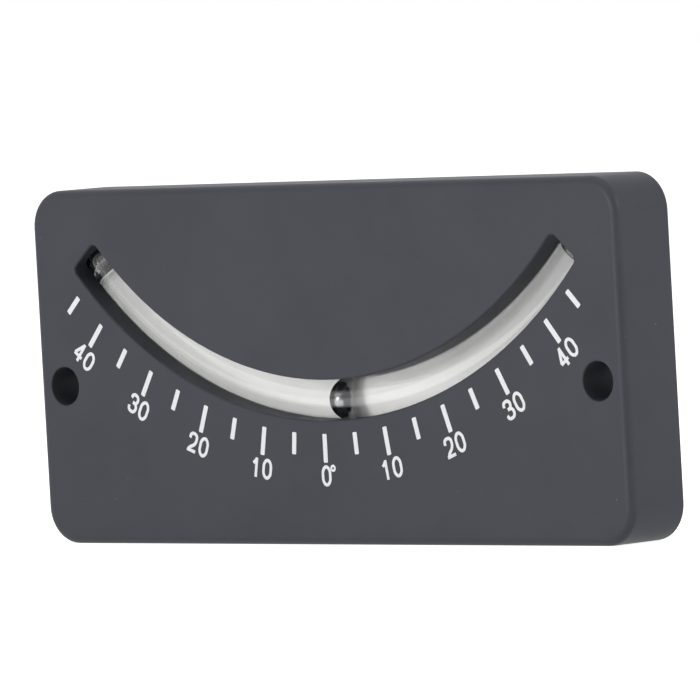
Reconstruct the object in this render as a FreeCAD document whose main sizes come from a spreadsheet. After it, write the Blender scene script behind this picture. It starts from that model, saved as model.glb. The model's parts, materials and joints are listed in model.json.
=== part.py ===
import FreeCAD, Part

# Ball inclinometer: a steel ball rolls in a curved, fluid filled glass tube behind the window slot
# of a moulded housing, and shows the slope on a scale of 45 degrees each way.
# Millimetres. +X is right, +Y goes into the object, +Z is up. The origin is in the middle of the
# bottom face. The face with the scale looks along -Y.

import math
import os
import re

import Sketcher
from FreeCAD import Placement, Rotation, Vector

# The driving dimensions: alias, value, meaning.
SIZES = [
    ("mount_spacing", 101.6, "mounting holes, centre to centre"),
    ("mount_height", 22.3, "mounting holes, above the bottom face"),
    ("mount_diameter", 5.4, "mounting holes, bore"),
    ("mount_side_wall", 2.25, "housing, between each mounting hole and the side face"),
    ("mount_rim_radius", 0.25, "mounting holes, rounding of the front rim"),
    ("sleeve_wall", 1.8, "mounting holes, wall of the moulded sleeve round each one"),
    ("arc_inset", 7.525, "from a mounting hole in to the tube's centre line at the travel's end"),
    ("tube_low_height", 20.0, "lowest point of the tube's centre line, above the bottom face"),
    ("head_room", 9.29, "housing, from the ends of the slot's centre line to the top face"),
    ("corner_radius", 5.2, "housing, the four corners seen from the front"),
    ("front_edge_radius", 1.1, "housing, rounding round the front face"),
    ("back_edge_radius", 0.3, "housing, rounding round the back face"),
    ("front_wall", 2.0, "housing, thickness of the front wall"),
    ("side_wall", 2.2, "housing, thickness of the side walls"),
    ("rim_wall", 1.0, "housing, what is left of the side walls beside the rear cover"),
    ("rib_thickness", 1.2, "housing, stiffening ribs behind the front wall"),
    ("rib_height", 2.6, "housing, how far those ribs stand out of the front wall"),
    ("ball_diameter", 3.97, "ball"),
    ("ball_play", 0.43, "ball, how much wider the bore is"),
    ("ball_travel_angle", 45.0, "ball, how far it rolls each way, degrees"),
    ("ball_seat_gap", 0.1, "gap between the ball and the low side of the bore"),
    ("ball_stop_gap", 0.05, "gap between the ball and a plug at the end of its travel"),
    ("tube_wall", 0.8, "sight tube, wall"),
    ("tube_recess", 1.5, "sight tube, behind the front face"),
    ("tube_end_radius", 0.25, "sight tube, fire polished rim at each end"),
    ("slot_overlap", 0.2, "window slot, how much each wall covers of the tube"),
    ("slot_past_travel", 3.69, "window slot, its length past the ball's last place"),
    ("slot_corner_radius", 0.9, "window slot, its four corners"),
    ("slot_rim_radius", 0.35, "window slot, rounding of the front rim"),
    ("seat_clearance", 0.06, "gap between the tube and what it lies in"),
    ("channel_wall", 0.9, "walls of the moulded channel that holds the tube"),
    ("channel_back_gap", 0.8, "gap between the channel and the rear cover"),
    ("channel_end_gap", 0.3, "channel, free space past each end of the tube"),
    ("fluid_gap", 0.02, "gap between the fluid and each solid that it touches"),
    ("backing_thickness", 0.45, "white backing, wall"),
    ("backing_past_travel", 1.28, "white backing, its length past the ball's last place"),
    ("plug_length", 4.38, "plug, length along the tube"),
    ("plug_clearance", 0.04, "gap between a plug and the bore"),
    ("plug_edge", 0.2, "plug, chamfer at its inner face"),
    ("ring_section", 0.8, "O-ring, thickness"),
    ("ring_clearance", 0.02, "gap between an O-ring and the plug and bore"),
    ("sealant_inset", 0.3, "sealant cap, its edge inside the edge of the tube"),
    ("sealant_length", 0.8, "sealant cap, length along the tube"),
    ("sealant_round", 0.35, "sealant cap, rounding of its outer face"),
    ("cover_land", 0.3, "rear cover, what is left of the plate under a countersink"),
    ("cover_gap", 0.15, "gap round the rear cover and round the sleeves in it"),
    ("cover_edge", 0.3, "rear cover, chamfer round its outer face"),
    ("spigot_height", 0.6, "rear cover, low wall that centres it in the hollow"),
    ("spigot_wall", 1.0, "rear cover, thickness of that wall"),
    ("cushion_thickness", 0.96, "cushion, at its thinnest"),
    ("cushion_length", 8.55, "cushion, length along the tube"),
    ("cushion_inset", 1.14, "cushion, its side inside the side of the backing"),
    ("cushion_spread_angle", 30.0, "from the middle cushion to the side ones, degrees"),
    ("cushion_gap", 0.03, "gap between a cushion and the backing and seat"),
    ("saddle_wall", 0.8, "rear cover, low wall round each cushion"),
    ("saddle_height", 0.5, "rear cover, height of that wall"),
    ("screw_inset", 20.8, "cover screws, inwards of the mounting holes"),
    ("screw_diameter", 2.0, "cover screw, shank"),
    ("screw_length", 7.0, "cover screw, overall"),
    ("screw_point", 0.8, "cover screw, length of its point"),
    ("screw_head_diameter", 4.0, "cover screw, countersunk head"),
    ("screw_head_rim", 0.2, "cover screw, straight rim of the head"),
    ("screw_clearance", 0.1, "gap between a cover screw and its holes"),
    ("screw_sink", 0.1, "cover screw, its head below the outer face of the cover"),
    ("recess_width", 0.5, "cover screw, arms of the cross recess"),
    ("recess_span", 2.2, "cover screw, tip to tip of the cross recess"),
    ("recess_depth", 0.7, "cover screw, depth of the cross recess"),
    ("boss_wall", 1.5, "housing, wall of the boss round each cover screw"),
    ("boss_gap", 0.55, "gap between a boss and the cover's low wall"),
    ("pilot_gap", 0.03, "gap between a cover screw and its hole in the boss"),
    ("pilot_end_gap", 0.5, "cover screw's hole, free length past the point"),
]

# What follows from them: alias, formula, meaning.
DERIVED = [
    ("ball_radius", "ball_diameter / 2", "ball"),
    ("bore_radius", "(ball_diameter + ball_play) / 2", "bore of the tube"),
    ("tube_radius", "bore_radius + tube_wall", "outside of the tube"),
    ("tube_arc_radius", "(mount_spacing / 2 - arc_inset) / sin(ball_travel_angle)",
     "radius of the tube's centre line"),
    ("arc_centre_height", "tube_low_height + tube_arc_radius",
     "centre of the tube's arc and of the scale, above the bottom face"),
    ("ball_arc_radius", "tube_arc_radius + bore_radius - ball_radius - ball_seat_gap",
     "radius of the arc that the ball's centre follows"),
    ("degrees_per_length", "180 / (pi * tube_arc_radius)", "angle for a unit of length on the arc"),
    ("slot_half_angle", "ball_travel_angle + slot_past_travel * degrees_per_length",
     "half the arc of the window slot, degrees"),
    ("slot_half_width", "tube_radius - slot_overlap", "half the width of the window slot"),
    ("backing_half_angle", "ball_travel_angle + backing_past_travel * degrees_per_length",
     "half the arc of the white backing, degrees"),
    ("backing_inner", "tube_radius + seat_clearance", "inside of the white backing"),
    ("backing_outer", "backing_inner + backing_thickness", "outside of the white backing"),
    ("cradle_radius", "tube_radius + seat_clearance", "seat of the tube in the housing"),
    ("plug_face_angle", "ball_travel_angle + (ball_radius + ball_stop_gap) / ball_arc_radius"
     " * 180 / pi", "inner face of each plug, degrees"),
    ("tube_half_angle", "plug_face_angle + plug_length * degrees_per_length",
     "half the arc of the tube, degrees"),
    ("plug_middle_angle", "(plug_face_angle + tube_half_angle) / 2", "middle of each plug"),
    ("plug_half_angle", "(tube_half_angle - plug_face_angle) / 2", "half the arc of each plug"),
    ("plug_radius", "bore_radius - plug_clearance", "outside of each plug"),
    ("ring_outer", "bore_radius - ring_clearance", "outside of each O-ring"),
    ("ring_middle", "ring_outer - ring_section / 2", "middle of the O-ring's section"),
    ("groove_floor", "ring_outer - ring_section - ring_clearance", "floor of each plug's groove"),
    ("groove_half_width", "ring_section / 2 + ring_clearance", "half of each groove's width"),
    ("fluid_radius", "bore_radius - fluid_gap", "outside of the fluid"),
    ("fluid_half_angle", "plug_face_angle - fluid_gap * degrees_per_length",
     "half the arc of the fluid"),
    ("sealant_radius", "tube_radius - sealant_inset", "outside of a sealant cap"),
    ("sealant_half_angle", "sealant_length / 2 * degrees_per_length", "half of a sealant cap"),
    ("sealant_middle_angle", "tube_half_angle + sealant_half_angle", "middle of a cap"),
    ("cushion_half_angle", "cushion_length / 2 * degrees_per_length", "half of a cushion"),
    ("cushion_half_width", "backing_outer + cushion_gap - cushion_inset", "half of a cushion"),
    ("head_radius", "screw_head_diameter / 2", "cover screw's head"),
    ("shank_radius", "screw_diameter / 2", "cover screw's shank"),
    ("head_cone", "head_radius - shank_radius", "length of the head's cone, at 45 degrees"),
    ("countersink", "head_cone + screw_head_rim + screw_sink", "depth of each countersink"),
    ("cover_thickness", "countersink + cover_land", "rear cover, plate"),
    ("tube_axis_depth", "tube_recess + tube_radius", "centre line behind the front face"),
    ("housing_depth", "tube_axis_depth + backing_outer + cushion_gap + cushion_thickness"
     " + cover_thickness", "housing, overall, along Y"),
    ("housing_width", "mount_spacing + mount_diameter + 2 * mount_side_wall",
     "housing, overall, along X"),
    ("housing_height", "arc_centre_height - tube_arc_radius * cos(slot_half_angle) + head_room",
     "housing, overall, along Z"),
    ("front_y", "-housing_depth / 2", "front face"),
    ("back_y", "housing_depth / 2", "back face"),
    ("wall_y", "front_y + front_wall", "inner side of the front wall"),
    ("seat_y", "back_y - cover_thickness", "ledge that the rear cover lies on"),
    ("tube_y", "front_y + tube_axis_depth", "centre line of the tube"),
    ("channel_y", "seat_y - channel_back_gap", "back edge of the tube's channel"),
    ("channel_half_width", "backing_outer + seat_clearance", "inside of the tube's channel"),
    ("channel_inner_angle", "sealant_middle_angle + sealant_half_angle"
     " + channel_end_gap * degrees_per_length", "end of the channel's hollow"),
    ("channel_outer_angle", "channel_inner_angle + channel_wall * degrees_per_length",
     "outside of the channel's end wall"),
    ("mount_x", "mount_spacing / 2", "right mounting hole"),
    ("sleeve_radius", "mount_diameter / 2 + sleeve_wall", "outside of each sleeve"),
    ("inner_corner_radius", "corner_radius - side_wall", "corners of the housing's hollow"),
    ("cover_inset", "rim_wall + cover_gap", "rear cover, its edge inside the housing's outline"),
    ("spigot_inset", "side_wall + cover_gap", "low wall, inside the housing's outline"),
    ("boss_radius", "shank_radius + boss_wall", "outside of each boss"),
    ("screw_x", "mount_x - screw_inset", "right cover screws"),
    ("screw_low", "spigot_inset + spigot_wall + boss_gap + boss_radius", "lower cover screws"),
    ("screw_high", "housing_height - screw_low", "upper cover screws"),
]

# How constraints number the ends of a line or arc, the centre of an arc, and a sketch's own axes.
START, END, CENTRE = 1, 2, 3
ACROSS, UP = -1, -2

doc = FreeCAD.newDocument("ball_inclinometer")
sheet = doc.addObject("Spreadsheet::Sheet", "Sizes")
for row, (alias, value, meaning) in enumerate(SIZES + DERIVED, start=1):
    text = str(value) if isinstance(value, float) else "=" + value
    sheet.set(f"A{row}", meaning)
    sheet.set(f"B{row}", text)
    sheet.setAlias(f"B{row}", alias)
doc.recompute()

ALIAS = re.compile(r"\b(" + "|".join(row[0] for row in SIZES + DERIVED) + r")\b")


# Helpers: expressions

def in_sheet(formula):
    """A formula in aliases, written as an expression that any object can hold."""
    return ALIAS.sub(r"Sizes.\1", formula)


def number(formula):
    """What a formula in aliases comes to now."""
    value = doc.Sizes.evalExpression(formula)
    return float(getattr(value, "Value", value))


def bind(thing, **formulas):
    """Bind properties of an object to the sheet. A double underscore stands for a dot."""
    for name, formula in formulas.items():
        thing.setExpression(name.replace("__", "."), in_sheet(formula))


# Helpers: sketches

def origin_part(body, role):
    """One of the planes or axes of a body's own origin."""
    return next(part for part in body.Origin.OriginFeatures if part.Role == role)


def new_body(label, **place):
    """A body of its own, whose Label names the piece."""
    body = doc.addObject("PartDesign::Body", label)
    body.Label = label
    bind(body, **{"Placement__Base__" + axis: formula for axis, formula in place.items()})
    return body


def new_sketch(body, name, plane="XZ_Plane", y=None, z=None, turn=None):
    """A sketch on a plane of the body's origin.

    On XZ_Plane the sketch's own axes are X and Z, and it looks along -Y. It can be moved to
    another y, have its own origin at another z, and be turned about it.
    """
    sketch = body.newObject("Sketcher::SketchObject", name)
    sketch.AttachmentSupport = [(origin_part(body, plane), "")]
    sketch.MapMode = "FlatFace"
    if y:
        bind(sketch, AttachmentOffset__Base__z=f"-({y})")
    if z:
        bind(sketch, AttachmentOffset__Base__y=z)
    if turn:
        sketch.AttachmentOffset = Placement(sketch.AttachmentOffset.Base, Rotation(Vector(0, 0, 1), 1))
        bind(sketch, AttachmentOffset__Rotation__Angle=turn)
    return sketch


def constrain(sketch, kind, *where, formula):
    """Add a dimension to a sketch and bind it to the sheet."""
    index = sketch.addConstraint(Sketcher.Constraint(kind, *where, number(formula)))
    sketch.setExpression(f"Constraints[{index}]", in_sheet(formula))


def place_point(sketch, geometry, end, x, z):
    """Pin a point of a sketch at formulas x and z, of which "0" means on the axis."""
    for formula, kind, axis in ((x, "DistanceX", UP), (z, "DistanceY", ACROSS)):
        if formula == "0":
            sketch.addConstraint(Sketcher.Constraint("PointOnObject", geometry, end, axis))
        else:
            constrain(sketch, kind, ACROSS, START, geometry, end, formula=formula)


def draw_circle(sketch, x, z, radius):
    """A circle whose centre and radius are formulas."""
    circle = sketch.addGeometry(
        Part.Circle(Vector(number(x), number(z), 0), Vector(0, 0, 1), number(radius)))
    place_point(sketch, circle, CENTRE, x, z)
    constrain(sketch, "Radius", circle, formula=radius)


def draw_polygon(sketch, corners):
    """A closed outline of straight lines through corners given as pairs of formulas."""
    points = [Vector(number(x), number(z), 0) for x, z in corners]
    first = sketch.GeometryCount
    count = len(points)
    for index in range(count):
        sketch.addGeometry(Part.LineSegment(points[index], points[(index + 1) % count]))
    for index, (x, z) in enumerate(corners):
        follower = first + (index + 1) % count
        sketch.addConstraint(
            Sketcher.Constraint("Coincident", first + index, END, follower, START))
        place_point(sketch, first + index, START, x, z)


def draw_rounded_rectangle(sketch, half_width, low, high, radius):
    """An upright rectangle with round corners, symmetric about the Z axis."""
    wide, bottom, top, r = (number(text) for text in (half_width, low, high, radius))
    turns = ((-wide + r, bottom + r, 180), (wide - r, bottom + r, 270),
             (wide - r, top - r, 0), (-wide + r, top - r, 90))
    corners = []
    for x, z, start in turns:
        circle = Part.Circle(Vector(x, z, 0), Vector(0, 0, 1), r)
        angle = math.radians(start)
        corners.append(sketch.addGeometry(Part.ArcOfCircle(circle, angle, angle + math.pi / 2)))
    for index, corner in enumerate(corners):
        following = corners[(index + 1) % len(corners)]
        side = sketch.addGeometry(Part.LineSegment(
            sketch.getPoint(corner, END), sketch.getPoint(following, START)))
        sketch.addConstraint(Sketcher.Constraint("Tangent", corner, END, side, START))
        sketch.addConstraint(Sketcher.Constraint("Tangent", side, END, following, START))
        sketch.addConstraint(Sketcher.Constraint(("Horizontal", "Vertical")[index % 2], side))
    for corner in corners[1:]:
        sketch.addConstraint(Sketcher.Constraint("Equal", corners[0], corner))
    constrain(sketch, "Radius", corners[0], formula=radius)
    place_point(sketch, corners[0], CENTRE, f"-({half_width} - ({radius}))", f"{low} + ({radius})")
    place_point(sketch, corners[2], CENTRE, f"{half_width} - ({radius})", f"{high} - ({radius})")


def join_ends(sketch, inner, outer):
    """Close two arcs with a line between their starts and a line between their ends."""
    for end in (START, END):
        line = sketch.addGeometry(Part.LineSegment(
            sketch.getPoint(inner, end), sketch.getPoint(outer, end)))
        sketch.addConstraint(Sketcher.Constraint("Coincident", line, START, inner, end))
        sketch.addConstraint(Sketcher.Constraint("Coincident", line, END, outer, end))


def draw_arc_band(sketch, inner, outer, half_angle):
    """A curved band below the sketch's origin, between two radii and two radial ends."""
    angle = math.radians(number(half_angle))
    down = -math.pi / 2
    arcs = []
    for radius in (inner, outer):
        circle = Part.Circle(Vector(0, 0, 0), Vector(0, 0, 1), number(radius))
        arc = sketch.addGeometry(Part.ArcOfCircle(circle, down - angle, down + angle))
        arcs.append(arc)
        sketch.addConstraint(Sketcher.Constraint("Coincident", arc, CENTRE, ACROSS, START))
        constrain(sketch, "Radius", arc, formula=radius)
        for end, side in ((START, "-"), (END, "")):
            constrain(sketch, "DistanceX", ACROSS, START, arc, end,
                      formula=f"{side}({radius}) * sin({half_angle})")
    join_ends(sketch, *arcs)


# Helpers: features

def pad(body, sketch, name, length, both_ways=False, backwards=True):
    """Add material from a sketch. On XZ_Plane backwards is towards +Y, the back of the gauge."""
    feature = body.newObject("PartDesign::Pad", name)
    feature.Profile = sketch
    feature.SideType = "Symmetric" if both_ways else "One side"
    feature.Reversed = backwards
    bind(feature, Length=length)
    return feature


def pocket(body, sketch, name, length, backwards=True):
    """Cut material from a sketch. On XZ_Plane backwards is towards +Y, and the volume must fall."""
    before = volume_of(body)
    feature = body.newObject("PartDesign::Pocket", name)
    feature.Profile = sketch
    feature.Reversed = not backwards
    bind(feature, Length=length)
    check_cut(body, before, name)
    return feature


def revolve(body, sketch, name, axis, angle="360", kind="Revolution"):
    """Turn a sketch about an axis, half of the angle each way."""
    before = volume_of(body)
    feature = body.newObject("PartDesign::" + kind, name)
    feature.Profile = sketch
    feature.ReferenceAxis = axis
    feature.Midplane = True
    bind(feature, Angle=angle)
    if kind == "Groove":
        check_cut(body, before, name)
    return feature


def volume_of(body):
    """The volume of a body as it is now, 0 before its first feature."""
    doc.recompute()
    return 0.0 if body.Shape.isNull() else body.Shape.Volume


def check_cut(body, before, name):
    """Stop if a cut took nothing away."""
    if not 0 < volume_of(body) < before:
        raise RuntimeError(f"{body.Label}: {name} cuts nothing, {before:.1f} mm3 before")


def dress(body, kind, name, wanted, **sizes):
    """Round or chamfer the edges of the body that the test wanted picks out."""
    doc.recompute()
    base = body.Tip
    names = [f"Edge{index}" for index, edge in enumerate(base.Shape.Edges, start=1) if wanted(edge)]
    if not names:
        raise RuntimeError(f"{body.Label}: no edges for {name}")
    feature = body.newObject("PartDesign::" + kind, name)
    feature.Base = (base, names)
    bind(feature, **sizes)
    return feature


# Helpers: picking edges

TOUCH = number("fluid_gap") / 10


def near(value, formula):
    """True where a measured length is what a formula says."""
    return abs(value - number(formula)) < TOUCH


def at_y(formula):
    """A test for edges that lie in the plane at this y."""
    return lambda edge: near(edge.BoundBox.YMin, formula) and near(edge.BoundBox.YMax, formula)


def round_edge(radius, side=0):
    """A test for circular edges of a radius, at the end of the piece on one side of x = 0."""
    def wanted(edge):
        if not isinstance(edge.Curve, Part.Circle) or not near(edge.Curve.Radius, radius):
            return False
        return side == 0 or edge.Curve.Center.x * side > 0
    return wanted


def in_slot(point):
    """True for a point inside the window slot or on its outline, seen from the front."""
    down = number("arc_centre_height") - point.z
    radius = math.hypot(point.x, down)
    angle = math.degrees(math.atan2(abs(point.x), down))
    middle, reach = number("tube_arc_radius"), number("slot_half_width") + TOUCH
    return abs(radius - middle) < reach and angle < number("slot_half_angle") + TOUCH


# Pieces: the moulded housing

SIDES = {"left": "-", "right": ""}
LEVELS = {"lower": "screw_low", "upper": "screw_high"}
CUSHIONS = {"left": -1, "centre": 0, "right": 1}


def band_radii(half_width):
    """The two radii of a band that lies along the tube."""
    return tuple(f"tube_arc_radius {sign} ({half_width})" for sign in "-+")


def make_front_housing():
    """A box open at the back, with the window slot, the tube's channel, sleeves, bosses and ribs."""
    body = new_body("front_housing")

    outline = new_sketch(body, "housing_outline")
    draw_rounded_rectangle(outline, "housing_width / 2", "0", "housing_height", "corner_radius")
    pad(body, outline, "housing_block", "housing_depth", both_ways=True)
    dress(body, "Fillet", "front_rounding", at_y("front_y"), Radius="front_edge_radius")
    dress(body, "Fillet", "back_rounding", at_y("back_y"), Radius="back_edge_radius")

    inside = new_sketch(body, "hollow_outline", y="wall_y")
    draw_rounded_rectangle(inside, "housing_width / 2 - side_wall", "side_wall",
                           "housing_height - side_wall", "inner_corner_radius")
    pocket(body, inside, "hollow", "back_y - wall_y")
    ledge = new_sketch(body, "ledge_outline", y="seat_y")
    draw_rounded_rectangle(ledge, "housing_width / 2 - rim_wall", "rim_wall",
                           "housing_height - rim_wall", "corner_radius - rim_wall")
    pocket(body, ledge, "cover_ledge", "cover_thickness")

    sleeves = new_sketch(body, "sleeve_circles", y="wall_y")
    bosses = new_sketch(body, "boss_circles", y="wall_y")
    ribs = new_sketch(body, "rib_outlines", y="wall_y")
    for sign in SIDES.values():
        draw_circle(sleeves, sign + "mount_x", "mount_height", "sleeve_radius")
        for level in LEVELS.values():
            draw_circle(bosses, sign + "screw_x", level, "boss_radius")
    low, high = "side_wall / 2", "housing_height - side_wall / 2"
    for place in ("-screw_x", "", "screw_x"):
        left, right = (f"{place} {sign} rib_thickness / 2" for sign in "-+")
        draw_polygon(ribs, [(left, low), (right, low), (right, high), (left, high)])
    pad(body, sleeves, "mounting_sleeves", "back_y - wall_y")
    pad(body, bosses, "screw_bosses", "seat_y - wall_y")
    pad(body, ribs, "stiffening_ribs", "rib_height")

    channel = new_sketch(body, "channel_outline", y="wall_y", z="arc_centre_height")
    draw_arc_band(channel, *band_radii("channel_half_width + channel_wall"), "channel_outer_angle")
    pad(body, channel, "tube_channel", "channel_y - wall_y")

    slot = new_sketch(body, "slot_outline", y="front_y", z="arc_centre_height")
    draw_arc_band(slot, *band_radii("slot_half_width"), "slot_half_angle")
    pocket(body, slot, "window_slot", "tube_axis_depth")
    dress(body, "Fillet", "slot_corners", is_slot_corner, Radius="slot_corner_radius")

    cradle = new_sketch(body, "cradle_section", plane="YZ_Plane", z="arc_centre_height")
    draw_circle(cradle, "tube_y", "-tube_arc_radius", "cradle_radius")
    revolve(body, cradle, "tube_cradle", (cradle, ["H_Axis"]), "2 * channel_inner_angle", "Groove")
    back = new_sketch(body, "backing_outline", y="tube_y", z="arc_centre_height")
    draw_arc_band(back, *band_radii("channel_half_width"), "channel_inner_angle")
    pocket(body, back, "backing_channel", "back_y - tube_y")

    holes = new_sketch(body, "mounting_circles", y="front_y")
    pilots = new_sketch(body, "pilot_circles", y="seat_y")
    for sign in SIDES.values():
        draw_circle(holes, sign + "mount_x", "mount_height", "mount_diameter / 2")
        for level in LEVELS.values():
            draw_circle(pilots, sign + "screw_x", level, "shank_radius + pilot_gap")
    pocket(body, holes, "mounting_holes", "housing_depth")
    pocket(body, pilots, "screw_pilots",
           "screw_sink + screw_length + pilot_end_gap - cover_thickness", backwards=False)

    front = at_y("front_y")
    dress(body, "Fillet", "slot_rim",
          lambda edge: front(edge) and all(in_slot(corner.Point) for corner in edge.Vertexes),
          Radius="slot_rim_radius")
    hole_edge = round_edge("mount_diameter / 2")
    dress(body, "Fillet", "mounting_rims", lambda edge: front(edge) and hole_edge(edge),
          Radius="mount_rim_radius")
    return body


def is_slot_corner(edge):
    """True for the four short edges where the ends of the window slot meet its long sides."""
    box = edge.BoundBox
    return (max(box.XLength, box.ZLength) < TOUCH and near(box.YMin, "front_y")
            and all(in_slot(corner.Point) for corner in edge.Vertexes))


def make_rear_cover():
    """The lid, let into the back of the housing, with a seat for each cushion."""
    body = new_body("rear_cover")

    outline = new_sketch(body, "cover_outline", y="seat_y")
    draw_rounded_rectangle(outline, "housing_width / 2 - cover_inset", "cover_inset",
                           "housing_height - cover_inset", "corner_radius - cover_inset")
    pad(body, outline, "cover_plate", "cover_thickness")
    dress(body, "Chamfer", "cover_rim", at_y("back_y"), Size="cover_edge")

    spigot = new_sketch(body, "spigot_outline", y="seat_y")
    for inset in ("spigot_inset", "spigot_inset + spigot_wall"):
        draw_rounded_rectangle(spigot, f"housing_width / 2 - ({inset})", inset,
                               f"housing_height - ({inset})", "inner_corner_radius - cover_gap")
    pad(body, spigot, "spigot", "spigot_height", backwards=False)

    saddle = new_sketch(body, "saddle_outline", y="seat_y", z="arc_centre_height",
                        turn="-cushion_spread_angle")
    for room in ("cushion_gap", "cushion_gap + saddle_wall"):
        draw_arc_band(saddle, *band_radii(f"cushion_half_width + {room}"),
                      f"cushion_half_angle + ({room}) * degrees_per_length")
    seat = pad(body, saddle, "cushion_seat", "saddle_height", backwards=False)
    seats = body.newObject("PartDesign::PolarPattern", "cushion_seats")
    seats.Originals = [seat]
    seats.Axis = (saddle, ["N_Axis"])
    seats.Occurrences = len(CUSHIONS)
    bind(seats, Angle="2 * cushion_spread_angle")
    body.Tip = seats

    notches = new_sketch(body, "sleeve_notches", y="seat_y - spigot_height")
    holes = new_sketch(body, "screw_circles", y="seat_y")
    for sign in SIDES.values():
        draw_circle(notches, sign + "mount_x", "mount_height", "sleeve_radius + cover_gap")
        for level in LEVELS.values():
            draw_circle(holes, sign + "screw_x", level, "shank_radius + screw_clearance")
    pocket(body, notches, "notches", "spigot_height + cover_thickness")
    pocket(body, holes, "screw_holes", "cover_thickness")
    back, bore = at_y("back_y"), round_edge("shank_radius + screw_clearance")
    dress(body, "Chamfer", "countersinks", lambda edge: back(edge) and bore(edge),
          Size="countersink")
    return body


# Pieces: the tube and what lies along it. Each has its own origin at the centre of the tube's arc.

def new_arc_body(label, side=0, angle=None):
    """A body at the centre of the tube's arc, turned to the left or right by an angle."""
    body = new_body(label, y="tube_y", z="arc_centre_height")
    if angle:
        body.Placement.Rotation = Rotation(Vector(0, -side, 0), 1)
        bind(body, Placement__Rotation__Angle=angle)
    return body


def bend(body, name, radii, half_angle):
    """A round bar or tube along the arc, from the radii of its section."""
    section = new_sketch(body, name + "_section", plane="YZ_Plane")
    for radius in radii:
        draw_circle(section, "0", "-tube_arc_radius", radius)
    return revolve(body, section, name, (section, ["H_Axis"]), f"2 * ({half_angle})")


def make_sight_tube():
    """The curved glass tube, with its ends fire polished."""
    body = new_arc_body("sight_tube")
    bend(body, "glass", ["tube_radius", "bore_radius"], "tube_half_angle")
    dress(body, "Fillet", "polished_ends", round_edge("tube_radius"), Radius="tube_end_radius")
    return body


def make_white_backing():
    """A half round strip that hugs the back of the tube."""
    body = new_arc_body("white_backing")
    section = new_sketch(body, "backing_section", plane="YZ_Plane")
    arcs = []
    for radius in ("backing_inner", "backing_outer"):
        circle = Part.Circle(Vector(0, -number("tube_arc_radius"), 0), Vector(0, 0, 1), number(radius))
        arc = section.addGeometry(Part.ArcOfCircle(circle, -math.pi / 2, math.pi / 2))
        arcs.append(arc)
        place_point(section, arc, CENTRE, "0", "-tube_arc_radius")
        constrain(section, "Radius", arc, formula=radius)
        for end in (START, END):
            section.addConstraint(Sketcher.Constraint("PointOnObject", arc, end, UP))
    join_ends(section, *arcs)
    revolve(body, section, "backing", (section, ["H_Axis"]), "2 * backing_half_angle")
    return body


def make_damping_fluid():
    """The liquid from plug to plug, with the room that the ball takes when the gauge is level."""
    body = new_arc_body("damping_fluid")
    bend(body, "liquid", ["fluid_radius"], "fluid_half_angle")
    room = new_sketch(body, "ball_room_section", plane="YZ_Plane")
    circle = Part.Circle(Vector(0, -number("ball_arc_radius"), 0), Vector(0, 0, 1),
                         number("ball_radius + fluid_gap"))
    arc = room.addGeometry(Part.ArcOfCircle(circle, -math.pi / 2, math.pi / 2))
    place_point(room, arc, CENTRE, "0", "-ball_arc_radius")
    constrain(room, "Radius", arc, formula="ball_radius + fluid_gap")
    for end in (START, END):
        room.addConstraint(Sketcher.Constraint("PointOnObject", arc, end, UP))
    line = room.addGeometry(Part.LineSegment(room.getPoint(arc, END), room.getPoint(arc, START)))
    room.addConstraint(Sketcher.Constraint("Coincident", line, START, arc, END))
    room.addConstraint(Sketcher.Constraint("Coincident", line, END, arc, START))
    revolve(body, room, "ball_room", (room, ["V_Axis"]), kind="Groove")
    return body


def make_indicator_ball():
    """The ball, at the lowest point of the tube."""
    ball = doc.addObject("Part::Sphere", "indicator_ball")
    ball.Label = "indicator_ball"
    bind(ball, Radius="ball_radius", Placement__Base__y="tube_y",
         Placement__Base__z="arc_centre_height - ball_arc_radius")
    return ball


def make_end_plug(label, side):
    """A plug that fills the end of the bore, with a groove for its O-ring."""
    body = new_arc_body(label, side, "plug_middle_angle")
    bend(body, "plug", ["plug_radius"], "plug_half_angle")
    dress(body, "Chamfer", "inner_edge", round_edge("plug_radius", -side), Size="plug_edge")
    section = new_sketch(body, "groove_section", z="-tube_arc_radius")
    draw_polygon(section, [("-groove_half_width", "groove_floor"), ("groove_half_width", "groove_floor"),
                           ("groove_half_width", "bore_radius"), ("-groove_half_width", "bore_radius")])
    revolve(body, section, "ring_groove", (section, ["H_Axis"]), kind="Groove")
    return body


def make_plug_ring(label, side):
    """The O-ring in a plug's groove."""
    body = new_arc_body(label, side, "plug_middle_angle")
    section = new_sketch(body, "ring_section", z="-tube_arc_radius")
    draw_circle(section, "0", "ring_middle", "ring_section / 2")
    revolve(body, section, "ring", (section, ["H_Axis"]))
    return body


def make_end_sealant(label, side):
    """The cap of sealant over the end of the tube and its plug."""
    body = new_arc_body(label, side, "sealant_middle_angle")
    bend(body, "cap", ["sealant_radius"], "sealant_half_angle")
    dress(body, "Fillet", "cap_round", round_edge("sealant_radius", side),
          Radius="sealant_round")
    return body


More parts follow.
